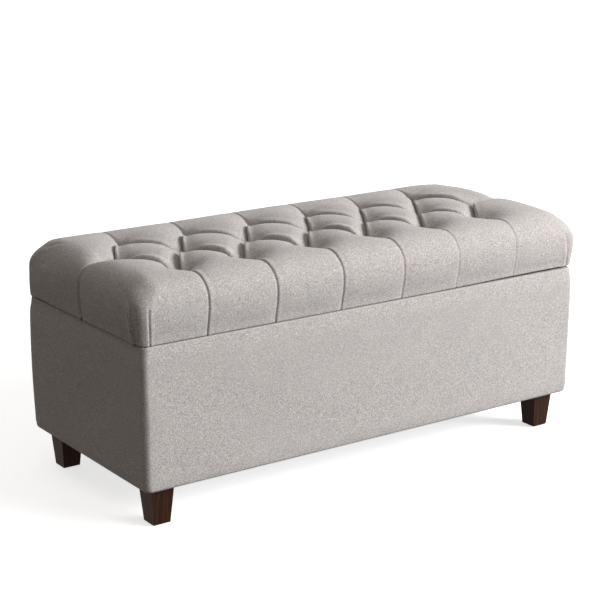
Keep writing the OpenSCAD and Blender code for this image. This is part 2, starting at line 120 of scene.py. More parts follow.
class Nodes:
    """Short calls that add and join shader nodes."""

    def __init__(self, name):
        self.material = bpy.data.materials.new(name)
        self.material.use_nodes = True
        self.tree = self.material.node_tree
        self.shader = self.tree.nodes["Principled BSDF"]

    def add(self, kind, inputs=None, **settings):
        node = self.tree.nodes.new(kind)
        for key, value in settings.items():
            setattr(node, key, value)
        for key, value in (inputs or {}).items():
            self.put(node, key, value)
        return node

    def put(self, node, key, value):
        if isinstance(value, bpy.types.NodeSocket):
            self.tree.links.new(value, node.inputs[key])
        else:
            node.inputs[key].default_value = value

    def finished(self, colour, roughness, normal, **more):
        """The material, with these values or sockets on its shader."""
        for key, value in {"Base Color": colour, "Roughness": roughness, "Normal": normal, **more}.items():
            self.put(self.shader, key.replace("_", " "), value)
        return self.material

    def noise(self, vector, scale, detail=4.0, roughness=0.5):
        made = self.add("ShaderNodeTexNoise", {"Vector": vector, "Scale": scale, "Detail": detail,
                                               "Roughness": roughness})
        return made.outputs["Fac"]

    def math(self, operation, a, b=0.0):
        return self.add("ShaderNodeMath", {0: a, 1: b}, operation=operation).outputs[0]

    def times(self, a, b):
        return self.math("MULTIPLY", a, b)

    def total(self, a, share_a, b, share_b):
        return self.math("ADD", self.times(a, share_a), self.times(b, share_b))

    def coords(self, kind):
        """Object coordinates or UVs; both are in metres."""
        return self.add("ShaderNodeTexCoord").outputs[kind]

    def stretched(self, vector, scale):
        return self.add("ShaderNodeMapping", {"Vector": vector, "Scale": scale}).outputs[0]

    def axes(self, vector):
        return self.add("ShaderNodeSeparateXYZ", {0: vector}).outputs

    def cells(self, vector, scale, **inputs):
        made = self.add("ShaderNodeTexVoronoi", {"Vector": vector, "Scale": scale, **inputs})
        return made.outputs["Distance"]

    def bands(self, vector, scale, distortion, detail_scale, across):
        made = self.add("ShaderNodeTexWave", {"Vector": vector, "Scale": scale, "Distortion": distortion,
                                              "Detail": 3.0, "Detail Scale": detail_scale},
                        wave_type="BANDS", bands_direction=across)
        return made.outputs["Fac"]

    def rescaled(self, value, low, high, **inputs):
        made = self.add("ShaderNodeMapRange", {"Value": value, "To Min": low, "To Max": high, **inputs})
        return made.outputs[0]

    def ramp(self, value, stops):
        made = self.add("ShaderNodeValToRGB", {"Fac": value})
        ramp = made.color_ramp
        while len(ramp.elements) < len(stops):
            ramp.elements.new(0.5)
        for element, (at, colour) in zip(ramp.elements, stops):
            element.position = at
            element.color = (*colour, 1)
        return made.outputs["Color"]

    def mix(self, factor, a, b, blend="MIX"):
        made = self.add("ShaderNodeMix", data_type="RGBA", blend_type=blend)
        self.put(made, "Factor", factor)
        self.put(made, 6, a)
        self.put(made, 7, b)
        return made.outputs[2]

    def bump(self, height, strength, distance, normal=None):
        made = self.add("ShaderNodeBump", {"Height": height, "Strength": strength, "Distance": distance})
        if normal is not None:
            self.put(made, "Normal", normal)
        return made.outputs["Normal"]


# ---------------------------------------------------------------- materials

def upholstery_material():
    """Heathered warm-grey linen-look cloth: a plain weave of slubby yarns. UVs are in metres."""
    nodes = Nodes("upholstery_fabric")
    uv = nodes.coords("UV")
    place = nodes.coords("Object")
    yarns = 900.0
    wander = nodes.noise(uv, 260.0, 2.0)
    slub = nodes.add("ShaderNodeTexNoise", {"Vector": uv, "Scale": 220.0, "Detail": 1.0}).outputs["Color"]
    shift = nodes.add("ShaderNodeVectorMath", {0: slub, "Scale": 0.0009}, operation="SCALE").outputs[0]
    split = nodes.axes(nodes.add("ShaderNodeVectorMath", {0: uv, 1: shift}, operation="ADD").outputs[0])
    waves_x, waves_y = (nodes.math("SINE", nodes.times(split[axis], yarns * math.pi)) for axis in "XY")
    warp, weft = nodes.math("ABSOLUTE", waves_x), nodes.math("ABSOLUTE", waves_y)
    over = nodes.math("ADD", nodes.times(nodes.times(waves_x, waves_y), 0.5), 0.5)
    weave = nodes.add("ShaderNodeMix", {"Factor": over, 2: warp, 3: weft}, data_type="FLOAT").outputs[0]
    speckle = nodes.noise(place, 520.0, 3.0, 0.75)
    heather = nodes.noise(place, 420.0, 3.0, 0.7)
    patches = nodes.noise(place, 26.0, 3.0, 0.55)
    light, mid, dark = (0.68, 0.666, 0.655), (0.49, 0.475, 0.464), (0.295, 0.281, 0.271)
    base = nodes.ramp(speckle, [(0.36, dark), (0.50, mid), (0.64, light)])
    heathered = nodes.ramp(heather, [(0.38, (0.82, 0.82, 0.82)), (0.62, (1.14, 1.13, 1.13))])
    colour = nodes.mix(1.0, base, heathered, "MULTIPLY")
    tint = nodes.ramp(patches, [(0.3, (0.95, 0.96, 0.955)), (0.7, (1.035, 1.0, 1.0))])
    colour = nodes.mix(1.0, colour, tint, "MULTIPLY")
    shade = nodes.ramp(weave, [(0.0, (0.80, 0.80, 0.80)), (0.55, (1.04, 1.04, 1.04))])
    colour = nodes.mix(0.6, colour, shade, "MULTIPLY")
    height = nodes.math("ADD", weave, nodes.times(speckle, 0.8))
    soft = nodes.math("ADD", nodes.noise(place, 60.0, 2.0), wander)
    normal = nodes.bump(soft, 0.12, 0.0012)
    return nodes.finished(colour, 0.95, nodes.bump(height, 0.5, 0.00025, normal),
                          Specular_IOR_Level=0.2, Sheen_Weight=0.22, Sheen_Roughness=0.55)


def leg_material():
    """Dark brown stained hardwood under a satin lacquer."""
    nodes = Nodes("stained_leg_wood")
    grain_way = nodes.stretched(nodes.coords("Object"), (1.0, 1.0, 0.12))
    rings = nodes.bands(grain_way, 30.0, 9.0, 1.6, "X")
    grain = nodes.total(rings, 0.6, nodes.noise(grain_way, 900.0, 3.0, 0.7), 0.5)
    colour = nodes.ramp(grain, [(0.2, (0.018, 0.0064, 0.0028)), (0.55, (0.029, 0.0104, 0.0045)),
                                (0.9, (0.045, 0.0170, 0.0075))])
    return nodes.finished(colour, 0.5, nodes.bump(grain, 0.18, 0.0004),
                          Specular_IOR_Level=0.07, Coat_Weight=0.01, Coat_Roughness=0.3)


def lining_material():
    """Charcoal plain-woven lining cloth with a faint slub. UVs are in metres."""
    nodes = Nodes("lining_fabric")
    uv = nodes.coords("UV")
    split = nodes.axes(uv)
    warp, weft = (nodes.math("SINE", nodes.times(split[axis], 1100.0 * math.pi)) for axis in "XY")
    weave = nodes.math("ADD", nodes.times(nodes.times(warp, weft), 0.5), 0.5)
    slub = nodes.noise(nodes.stretched(uv, (1.0, 9.0, 1.0)), 90.0, 4.0)
    mixed = nodes.total(weave, 0.45, slub, 0.6)
    colour = nodes.ramp(mixed, [(0.25, (0.034, 0.032, 0.032)), (0.6, (0.070, 0.066, 0.066)),
                                (0.85, (0.115, 0.11, 0.108))])
    return nodes.finished(colour, 0.85, nodes.bump(weave, 0.4, 0.0002, nodes.bump(slub, 0.2, 0.0006)),
                          Specular_IOR_Level=0.25, Sheen_Weight=0.15, Sheen_Roughness=0.5)


def dust_cloth_material():
    """Thin black spun-bonded dust cloth: matted fibres pressed with a grid of points. UVs are in metres."""
    nodes = Nodes("dust_cloth")
    uv = nodes.coords("UV")
    points = nodes.cells(uv, 420.0, Randomness=0.15)
    fibres = nodes.noise(uv, 700.0, 6.0, 0.8)
    clouds = nodes.noise(uv, 14.0, 3.0)
    height = nodes.total(points, 0.8, fibres, 0.4)
    colour = nodes.ramp(nodes.total(fibres, 0.6, clouds, 0.4),
                        [(0.3, (0.016, 0.016, 0.017)), (0.7, (0.055, 0.055, 0.058))])
    return nodes.finished(colour, 0.72, nodes.bump(height, 0.5, 0.0003), Specular_IOR_Level=0.35)


def board_material(name, pale, mid, deep, bands):
    """Bare softwood or plywood: long grain with darker streaks, fine pores and a dry face."""
    nodes = Nodes(name)
    place = nodes.coords("Object")
    grain_way = nodes.stretched(place, (0.08, 1.0, 1.0))
    rings = nodes.bands(grain_way, bands, 11.0, 1.2, "Z")
    pores = nodes.noise(grain_way, 700.0, 4.0, 0.7)
    cast = nodes.noise(place, 9.0, 2.0)
    grain = nodes.total(rings, 0.55, pores, 0.45)
    colour = nodes.ramp(grain, [(0.25, deep), (0.5, mid), (0.8, pale)])
    tint = nodes.ramp(cast, [(0.3, (0.9, 0.88, 0.86)), (0.7, (1.05, 1.04, 1.03))])
    colour = nodes.mix(0.6, colour, tint, "MULTIPLY")
    return nodes.finished(colour, 0.7, nodes.bump(grain, 0.25, 0.0004), Specular_IOR_Level=0.3)


def open_fibre_material(name, pale, deep, cell, pore_depth):
    """Foam or batting: a pale open surface of cells or fibres."""
    nodes = Nodes(name)
    place = nodes.coords("Object")
    cells = nodes.cells(place, cell)
    fibres = nodes.noise(place, cell * 0.7, 5.0, 0.75)
    height = nodes.math("ADD", cells, fibres)
    colour = nodes.ramp(height, [(0.35, deep), (0.9, pale)])
    return nodes.finished(colour, 1.0, nodes.bump(height, 0.7, pore_depth), Specular_IOR_Level=0.1)


def moulded_material(name, deep, pale, rough):
    """Moulded plastic or rubber with a fine spark-eroded grain and duller scuffed patches."""
    nodes = Nodes(name)
    place = nodes.coords("Object")
    grain = nodes.noise(place, 2200.0, 3.0, 0.6)
    scuffs = nodes.noise(place, 120.0, 4.0, 0.7)
    colour = nodes.ramp(scuffs, [(0.35, deep), (0.75, pale)])
    roughness = nodes.rescaled(scuffs, rough, rough + 0.2)
    return nodes.finished(colour, roughness, nodes.bump(grain, 0.3, 0.0001), Specular_IOR_Level=0.4)


def twine_material():
    """Waxed tufting twine: strands laid in a tight spiral."""
    nodes = Nodes("tufting_twine")
    split = nodes.axes(nodes.coords("Object"))
    turn = nodes.total(split["Z"], 2600.0, split["X"], 1800.0)
    strands = nodes.math("ABSOLUTE", nodes.math("SINE", turn))
    colour = nodes.ramp(strands, [(0.0, (0.42, 0.39, 0.33)), (0.6, (0.72, 0.69, 0.61))])
    return nodes.finished(colour, 0.8, nodes.bump(strands, 0.6, 0.0003), Specular_IOR_Level=0.3)


def zinc_material():
    """Bright zinc-plated steel: a soft rolled grain, cloudy plating and duller handled spots."""
    nodes = Nodes("zinc_plated_steel")
    place = nodes.coords("Object")
    rolled = nodes.noise(nodes.stretched(place, (1.0, 9.0, 9.0)), 500.0, 3.0, 0.6)
    clouds = nodes.noise(place, 70.0, 4.0, 0.6)
    colour = nodes.ramp(clouds, [(0.3, (0.50, 0.51, 0.53)), (0.55, (0.66, 0.67, 0.68)),
                                 (0.8, (0.72, 0.71, 0.67))])
    mottle = nodes.total(rolled, 0.5, clouds, 0.5)
    roughness = nodes.rescaled(mottle, 0.24, 0.46, **{"From Min": 0.3, "From Max": 0.7})
    return nodes.finished(colour, roughness, nodes.bump(rolled, 0.12, 0.0001), Metallic=1.0)


# ---------------------------------------------------------------- mesh helpers

def mesh_object(name, points, faces, uvs=None):
    """A mesh object from an (n, 3) array and quads; uvs has one pair for each face corner."""
    mesh = bpy.data.meshes.new(name)
    mesh.from_pydata([tuple(p) for p in points], [], [tuple(int(i) for i in f) for f in faces])
    if uvs is not None:
        layer = mesh.uv_layers.new(name="UVMap")
        layer.data.foreach_set("uv", np.asarray(uvs, np.float32).ravel())
    mesh.polygons.foreach_set("use_smooth", np.ones(len(mesh.polygons), bool))
    mesh.update()
    piece = bpy.data.objects.new(name, mesh)
    bpy.context.scene.collection.objects.link(piece)
    return piece


def dress(piece, cloth, body, slot, *nodes):
    """Gives a piece its cloth and body, and hides the CAD nodes that it stands for. The slot is not used."""
    piece.data.materials.append(cloth)
    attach(piece, body)
    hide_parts(*nodes)


def grid_quads(ids):
    """The quads of a (rows, columns) grid of vertex numbers."""
    return np.stack([ids[:-1, :-1], ids[:-1, 1:], ids[1:, 1:], ids[1:, :-1]], -1).reshape(-1, 4)


def ring_quads(rings):
    """The quads between closed rings of vertex numbers, one ring to a row."""
    after = np.roll(rings, -1, axis=1)
    return np.stack([rings[1:], after[1:], after[:-1], rings[:-1]], -1).reshape(-1, 4)


def unit(vectors):
    return vectors / np.maximum(np.linalg.norm(vectors, axis=-1, keepdims=True), 1e-12)


def vertex_normals(place, quads):
    total = np.zeros_like(place)
    p = place[quads]
    face = np.cross(p[:, 2] - p[:, 0], p[:, 3] - p[:, 1])
    for corner in range(4):
        np.add.at(total, quads[:, corner], face)
    return unit(total)


def smoothstep(x, low, high):
    t = np.clip((x - low) / (high - low), 0, 1)
    return t * t * (3 - 2 * t)


def arch(t):
    """Rises from 0 at t = 0 to 1 halfway and falls back to 0 at t = 1."""
    return np.sin(math.pi * np.clip(t, 0, 1))


def bell(x, y, width, length):
    return np.exp(-(x / width) ** 2 - (y / length) ** 2)


def waves(x, y, lengths, seed):
    """Slow, irregular swell between about -1 and 1: a few sines whose headings and phases are seeded."""
    rng = np.random.default_rng(seed)
    total = np.zeros(np.broadcast(x, y).shape)
    for length in lengths:
        heading, phase = rng.uniform(0, 2 * math.pi, 2)
        run = x * math.cos(heading) + y * math.sin(heading)
        total = total + np.sin(2 * math.pi * run / length + phase)
    return total / len(lengths)


def cloth_moves(place, faces, held, pressure, frames):
    """Runs the padded form as simulated cloth under pressure and returns how far each vertex was moved."""
    piece = mesh_object("padding_form", place, faces)
    group = piece.vertex_groups.new(name="held")
    levels = 5
    for level in range(1, levels + 1):
        chosen = np.nonzero(np.round(held * levels) == level)[0]
        if len(chosen):
            group.add(chosen.tolist(), level / levels, "REPLACE")
    cloth = piece.modifiers.new("cloth", "CLOTH")
    settings = cloth.settings
    settings.quality = 5
    settings.mass = 0.3
    settings.air_damping = 2
    settings.use_pressure = True
    settings.uniform_pressure_force = pressure
    settings.vertex_group_mass = "held"
    settings.effector_weights.gravity = 0
    scene = bpy.context.scene
    for step in range(1, frames + 1):
        scene.frame_set(step)
    shape = piece.evaluated_get(bpy.context.evaluated_depsgraph_get())
    after = np.zeros(3 * len(place))
    shape.data.vertices.foreach_get("co", after)
    scene.frame_set(1)
    mesh = piece.data
    bpy.data.objects.remove(piece)
    bpy.data.meshes.remove(mesh)
    return after.reshape(-1, 3) - place


def between(values, known, wanted):
    """Rows of values read off, in a straight line, between the known places."""
    at = np.clip(np.searchsorted(known, wanted, side="right") - 1, 0, len(known) - 2)
    share = ((wanted - known[at]) / (known[at + 1] - known[at])).reshape((-1,) + (1,) * (values.ndim - 1))
    return values[at] * (1 - share) + values[at + 1] * share


# ---------------------------------------------------------------- the tufted lid cover

# How far each tuft sits to the right of a regular grid, in mm, and how far each pleat down the front does.
BACK_TUFTS = (-7, -1, 7, 3, -1, -5)
MIDDLE_TUFTS = (-5, -2, 2, 8, 2, -5, 0)
FRONT_TUFTS = (-4, -11, -4, -8, -8, -14)
FRONT_PLEATS = (-19, -17, -12, -12, -20, -13)


class LidCover:
    """The lid's cover as a grid whose lines run through every tuft and along every pleat.

    The top is a rectangle of (u, v) squares. Its rim, the loop, is continued by rows that roll over the edge,
    go down the sides and turn in under the lid.
    """

    STEPS = 32                                  # grid steps from a tuft to the next crease line, both ways
    END_MARGIN, LONG_MARGIN = 30 * MM, 58 * MM  # flat top past the outer tufts, at the ends and long sides
    ROLL_ROWS, SIDE_ROWS, HEM_ROWS, UNDER_ROWS = 24, 14, 6, 4
    LOFT = 1.5 * MM                             # height of the untufted form above the CAD cover

    def __init__(self):
        low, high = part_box("lid_cover")
        twine_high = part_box("tuft_twines")[1]
        twine_r = 1 * MM
        self.pitch = (twine_high.x - twine_r) / 3
        self.row = twine_high.y - twine_r
        self.n = self.STEPS
        self.du = self.pitch / 2 / self.n
        self.dv = self.row / self.n
        self.top = high.z + self.LOFT
        self.bottom = low.z
        self.half_w = high.x
        self.half_d = high.y
        self.nu = 6 * self.n + round(self.END_MARGIN / self.du)
        self.nv = self.n + round(self.LONG_MARGIN / self.dv)
        self.make_ids()
        self.make_form()

    # -- topology

    def make_ids(self):
        nu, nv = self.nu, self.nv
        self.columns = np.arange(-nu, nu + 1)
        self.lines = np.arange(-nv, nv + 1)
        ids = np.arange(len(self.lines) * len(self.columns)).reshape(len(self.lines), len(self.columns))
        self.top_ids = ids
        loop = [(i, -nv) for i in range(-nu, nu)] + [(nu, j) for j in range(-nv, nv)]
        loop += [(i, nv) for i in range(nu, -nu, -1)] + [(-nu, j) for j in range(nv, -nv, -1)]
        self.loop = np.array(loop)
        self.loop_ids = ids[self.loop[:, 1] + nv, self.loop[:, 0] + nu]

    def profile(self):
        """Outward offset from the loop and height of each row below it, and the distance run so far."""
        reach = self.half_d - self.nv * self.dv
        bulge, sink = 0.5 * MM, 4.0 * MM
        roll_h, squareness = 50 * MM, 0.94
        belly = self.top - roll_h
        out, height = [], []
        for k in range(1, self.ROLL_ROWS + 1):
            turn = math.pi / 2 * k / self.ROLL_ROWS
            out.append((reach + bulge) * math.sin(turn) ** squareness)
            height.append(belly + roll_h * math.cos(turn) ** squareness)
        edge_r, under_step = 3 * MM, 7 * MM
        low = self.bottom + edge_r
        for k in range(1, self.SIDE_ROWS + 1):
            share = k / self.SIDE_ROWS
            out.append(reach + bulge - (bulge + sink) * (1 - math.cos(math.pi * share)) / 2 * share)
            height.append(belly + (low - belly) * share)
        for k in range(1, self.HEM_ROWS + 1):
            turn = math.pi / 2 * k / self.HEM_ROWS
            out.append(reach - sink - edge_r * (1 - math.cos(turn)))
            height.append(low - edge_r * math.sin(turn))
        for k in range(1, self.UNDER_ROWS + 1):
            out.append(reach - sink - edge_r - k * under_step)
            height.append(self.bottom)
        out, height = np.array(out), np.array(height)
        run = np.cumsum(np.hypot(np.diff(out, prepend=0), np.diff(height, prepend=self.top)))
        return out, height, run

    def corner_radius(self, out, height):
        """Radius of the plan's corners at a row: ball-like at the top, tighter lower down."""
        low_r = 16 * MM
        ball = np.minimum(1.1 * out, 50 * MM)
        depth = smoothstep(self.top - height, 8 * MM, 62 * MM)
        return np.maximum(ball * (1 - depth) + low_r * depth, 2 * MM)

    def outline(self, out, radius):
        """Plan points of the loop, moved outwards by out, with round corners."""
        a, b = self.nu * self.du + out, self.nv * self.dv + out
        points = np.zeros((len(self.loop), 2))
        u, v = self.loop[:, 0] * self.du, self.loop[:, 1] * self.dv
        full_u, full_v = self.nu * self.du, self.nv * self.dv
        for across, along, half, other, full, on in (
            (0, 1, a, b, full_u, np.abs(self.loop[:, 1]) == self.nv),
            (1, 0, b, a, full_v, np.abs(self.loop[:, 0]) == self.nu),
        ):
            travel = (u if across == 0 else v)[on]
            side = np.sign((v if across == 0 else u)[on])
            squeeze = (85 * MM, 140 * MM)[across]
            straight = full - squeeze
            reach = half - radius + radius * math.pi / 4
            far = np.maximum(np.abs(travel) - straight, 0) / squeeze
            ease = far + 0.45 * smoothstep(out, 0, 45 * MM) * far * (1 - far)
            sigma = np.where(np.abs(travel) <= straight, np.abs(travel), straight + (reach - straight) * ease)
            angle = np.maximum(sigma - (half - radius), 0) / radius
            flat = np.minimum(sigma, half - radius)
            points[on, across] = np.sign(travel) * (flat + radius * np.sin(angle))
            points[on, along] = side * (other - radius * (1 - np.cos(angle)))
        return points

    def make_form(self):
        """The untufted form: every vertex's place, and the (i, j, run) that says where it is on the grid."""
        i, j = np.meshgrid(self.columns, self.lines)
        u, v = i * self.du, j * self.dv
        top = np.stack([u, v, np.full(u.shape, self.top)], -1).reshape(-1, 3)
        place, column, line, down = [top], [i.ravel()], [j.ravel()], [np.zeros(top.shape[0])]
        out, height, run = self.profile()
        rows = len(out)
        for k in range(rows):
            plan = self.outline(out[k], self.corner_radius(out[k], height[k]))
            place.append(np.column_stack([plan, np.full(len(plan), height[k])]))
            column.append(self.loop[:, 0])
            line.append(self.loop[:, 1])
            down.append(np.full(len(plan), run[k]))
        self.place = self.stuffed(np.concatenate(place))
        self.i = np.concatenate(column)
        self.j = np.concatenate(line)
        self.down = np.concatenate(down)
        self.foot = run[-self.UNDER_ROWS - 2]                       # from here on the cloth lies flat
        self.turned_in = run[-self.UNDER_ROWS]
        self.side_end = run[-self.UNDER_ROWS - self.HEM_ROWS - 1]
        count = len(self.loop)
        side_ids = len(top) + np.arange(rows * count).reshape(rows, count)
        self.rings = np.vstack([self.loop_ids, side_ids])
        self.quads = np.vstack([grid_quads(self.top_ids), ring_quads(self.rings)])
        self.cap = self.rings[-1][::-1]

    def stuffed(self, place):
        """The form filled out: crowned along the middle, bellied on its long sides and a little uneven."""
        x, y, z = place.T
        lift = smoothstep(z, self.bottom + 40 * MM, self.top)
        crown = 3.5 * MM * (1 - np.minimum(np.abs(y) / self.half_d, 1) ** 2)
        fuller_right = 2.5 * MM * x / self.half_w
        place[:, 2] += lift * (crown + fuller_right + 0.8 * MM * waves(x, y, (0.31, 0.47), 5))
        level = (z - self.bottom) / (self.top - self.bottom)
        belly = 5.0 * MM * arch(level) ** 1.5
        middle = np.clip(1 - (np.abs(x) / self.half_w) ** 4, 0, 1)
        place[:, 1] += np.sign(y) * belly * middle * smoothstep(np.abs(y), 0.75 * self.half_d, self.half_d)
        right_corner = smoothstep(x, 0.80 * self.half_w, self.half_w)
        right_corner *= smoothstep(np.abs(y), 0.35 * self.half_d, self.half_d)
        place[:, 2] -= 6 * MM * lift * right_corner
        slack = 4 * MM * arch(level) ** 2
        slack *= smoothstep(-x, 0.85 * self.half_w, self.half_w) * smoothstep(y, 0.2 * self.half_d, self.half_d)
        place[:, 0] += slack
        place[:, 1] -= slack
        return place

    def edges(self):
        """Every grid edge once, as two arrays of vertex numbers."""
        t, r = self.top_ids, self.rings
        a = [t[:, :-1].ravel(), t[:-1].ravel(), r[1:].ravel(), r[:-1].ravel()]
        b = [t[:, 1:].ravel(), t[1:].ravel(), np.roll(r[1:], -1, axis=1).ravel(), r[1:].ravel()]
        return np.concatenate(a), np.concatenate(b)

    # -- pleats

    def pleats(self):
        """For each kind of pleat: its vertices, their signed distance across it and their place along it."""
        n, i, j, down = self.n, self.i, self.j, self.down
        on_top = down == 0
        band = np.abs(j) <= n
        diagonal = math.hypot(self.du, self.dv)
        found = []

        def add(kind, distance, on, t, across):
            found.append({"kind": kind, "distance": distance, "on": on, "t": t, "across": np.array(across)})

        for lean in (1, -1):
            line = i - lean * j
            m = np.round(line / (2 * n))
            offset = line - 2 * n * m
            inside = (np.abs(m) < 3) | ((m == -3) & (lean * j >= 0)) | ((m == 3) & (lean * j <= 0))
            add("a" if lean == 1 else "b", offset * (self.dv / diagonal * self.du), on_top & band & inside,
                np.abs(j) / n, (self.dv / diagonal, -lean * self.du / diagonal))
        m = np.clip(np.round((i - n) / (2 * n)), -3, 2)
        offset = i - (2 * n * m + n)
        outside = (np.abs(j) >= n) & ((np.abs(j) == self.nv) | on_top)
        add("front", offset * self.du, outside & (np.abs(i) < self.nu), (np.abs(j) - n) * self.dv + down,
            (1.0, 0.0))
        ends = (np.abs(i) >= 6 * n) & ((np.abs(i) == self.nu) | on_top) & (np.abs(j) < self.nv)
        add("end", j * self.dv, ends, (np.abs(i) - 6 * n) * self.du + down, (0.0, 1.0))
        return found

    def valley(self, pleat):
        """Depth of a pleat's line below the form, along the pleat."""
        tuft, t = 58 * MM, np.maximum(pleat["t"], 0)
        if pleat["kind"] in "ab":
            mid = 17 * MM if pleat["kind"] == "a" else 19 * MM
            return mid + (tuft - mid) * np.abs(2 * t - 1) ** 3.2
        if pleat["kind"] == "front":
            slope = np.where(self.j < 0, 15 * MM, 4 * MM)
            base = np.interp(self.i * self.du, (-0.4, 0, 0.2, 0.42), (5.0, 4.0, 2.0, 1.4)) * MM
            near = base + slope * np.exp(-((t / (45 * MM)) ** 2)) + 38 * MM * np.exp(-((t / (16 * MM)) ** 1.2))
            near = np.where(self.j < 0, near, near - 0.6 * base)
            return near - 0.5 * base * smoothstep(t, 70 * MM, 170 * MM)
        near = 6 * MM + 14 * MM * np.exp(-((t / (55 * MM)) ** 2))
        near = near + 38 * MM * np.exp(-((t / (18 * MM)) ** 1.2))
        return near - 3 * MM * smoothstep(t, 80 * MM, 170 * MM)

    def solve(self, fixed, value, source, most_steps=900):
        """Conjugate gradients on the grid's Laplacian, with the fixed vertices held at value."""
        a, b = self.edge_a, self.edge_b
        free = ~fixed

        def apply(x):
            flow = self.weight * (x[a] - x[b])
            y = np.bincount(a, flow, len(x)) - np.bincount(b, flow, len(x))
            return y * free

        x = np.where(fixed, value, 0.0)
        residual = (source - apply(x)) * free
        step = residual.copy()
        start = before = residual @ residual
        for _ in range(most_steps):
            pushed = apply(step)
            alpha = before / (step @ pushed)
            x += alpha * step
            residual -= alpha * pushed
            now = residual @ residual
            if now < start * 1e-9:
                break
            step = residual + now / before * step
            before = now
        return x

    def tuft(self):
        """Draws the creases in and lets the cloth swell between them."""
        place = self.place
        pleats = self.pleats()
        self.edge_a, self.edge_b = self.edges()
        length = np.linalg.norm(place[self.edge_a] - place[self.edge_b], axis=1)
        p = place[self.quads]
        face = np.linalg.norm(np.cross(p[:, 2] - p[:, 0], p[:, 3] - p[:, 1]), axis=1) / 2
        area = np.zeros(len(place))
        for corner in range(4):
            np.add.at(area, self.quads[:, corner], face / 4)
        self.weight = (area[self.edge_a] + area[self.edge_b]) / 2 / np.maximum(length, 0.2 * MM) ** 2
        fixed = np.zeros(len(place), bool)
        depth = np.zeros(len(place))
        for pleat in pleats:
            here = pleat["on"] & (np.abs(pleat["distance"]) < 0.01 * MM)
            depth = np.where(here, np.maximum(depth, self.valley(pleat)), depth)
            fixed |= here
        fixed |= self.down >= self.foot
        sunk = self.solve(fixed, depth, np.zeros(len(place)))
        swell = self.solve(fixed, np.zeros(len(place)), area)
        full, firmness = swell[(self.i == self.n) & (self.j == 0)].max(), 2.2
        rise = np.sqrt(np.maximum(1 - np.exp(-firmness * swell / full), 0))
        down = sunk * (1 - rise) + self.hollows()
        normal = vertex_normals(place, self.quads)
        return place - normal * down[:, None], normal, pleats

    def tuft_spots(self):
        """(i, j) of every tuft: rows of 6, 7 and 6."""
        for j, count in ((-self.n, 6), (0, 7), (self.n, 6)):
            for k in range(count):
                yield (2 * k - count + 1) * self.n, j

    def hollows(self):
        """How far the cloth is drawn down round the tufts and in front of the outer ones, in soft hollows."""
        u, v = self.i * self.du, self.j * self.dv
        out_v = v + np.where(np.abs(self.j) == self.nv, np.sign(v) * self.down, 0)
        out_u = u + np.where(np.abs(self.i) == self.nu, np.sign(u) * self.down, 0)
        total, nooks = np.zeros(len(u)), np.zeros(len(u))
        for i, j in self.tuft_spots():
            du, dv = out_u - i * self.du, out_v - j * self.dv
            width, long, deep = 36 * MM, 36 * MM, 5 * MM
            if j < 0:
                long, deep = np.where(dv < 0, 56 * MM, width), 13 * MM
            elif abs(i) == 6 * self.n:
                width, deep = np.where(np.sign(i) * du > 0, 75 * MM, width), 11 * MM
            total = np.maximum(total, deep * bell(du, dv, width, long))
            if j <= 0:
                nooks += 5.5 * MM * bell(du - 17 * MM, dv + 4 * MM, 13 * MM, 15 * MM)
                nooks += (9 * MM if j < 0 else 4 * MM) * bell(du + 24 * MM, dv + 2 * MM, 21 * MM, 20 * MM)
        return total + nooks * np.interp(u, (-0.45, -0.1, 0.1, 0.45), (1.0, 0.8, 0.55, 0.3))

    def settled(self, place, pleats):
        """The padding after a run of simulated cloth on a coarser grid, with the creases and the foot held."""
        coarse, most = 4, 4 * MM
        columns = self.columns[(self.columns % coarse == 0) | (np.abs(self.columns) == self.nu)]
        lines = self.lines[(self.lines % coarse == 0) | (np.abs(self.lines) == self.nv)]
        rows = np.array([k for k in range(len(self.rings)) if k % 3 == 0 or k > len(self.rings) - 3])
        long_side = np.abs(self.loop[:, 1]) == self.nv
        kept = np.where(long_side, np.isin(self.loop[:, 0], columns), np.isin(self.loop[:, 1], lines))
        spots = np.nonzero(kept)[0]
        top = self.top_ids[np.ix_(lines + self.nv, columns + self.nu)]
        rings = self.rings[np.ix_(rows, spots)]
        quads = np.vstack([grid_quads(top), ring_quads(rings)])
        used, small = np.unique(quads, return_inverse=True)
        number = {int(vertex): k for k, vertex in enumerate(used)}
        faces = [tuple(q) for q in small.reshape(-1, 4).tolist()]
        faces.append(tuple(number[int(k)] for k in rings[-1][::-1]))
        held = 1 - smoothstep(self.side_end - self.down, 0, 20 * MM)
        for pleat in pleats:
            gap = np.where(pleat["on"], np.abs(pleat["distance"]), 1)
            held = np.maximum(held, 1 - smoothstep(gap, 6 * MM, 22 * MM))
        moves = np.zeros_like(place)
        run = cloth_moves(place[used], faces, held[used], pressure=9.0, frames=20)
        moves[used] = run * (1 - held[used])[:, None]
        length = np.linalg.norm(moves, axis=1, keepdims=True)
        moves *= np.minimum(1, most / np.maximum(length, 1e-9))
        flat = between(moves[top], lines, self.lines)
        flat = between(flat.transpose(1, 0, 2), columns, self.columns).transpose(1, 0, 2)
        side = np.concatenate([moves[rings], moves[rings[:, :1]]], axis=1).transpose(1, 0, 2)
        side = between(side, np.append(spots, len(self.loop)), np.arange(len(self.loop))).transpose(1, 0, 2)
        side = between(side, rows, np.arange(len(self.rings)))
        full = np.zeros_like(place)
        full[self.rings] = side
        full[self.top_ids] = flat
        return place + full

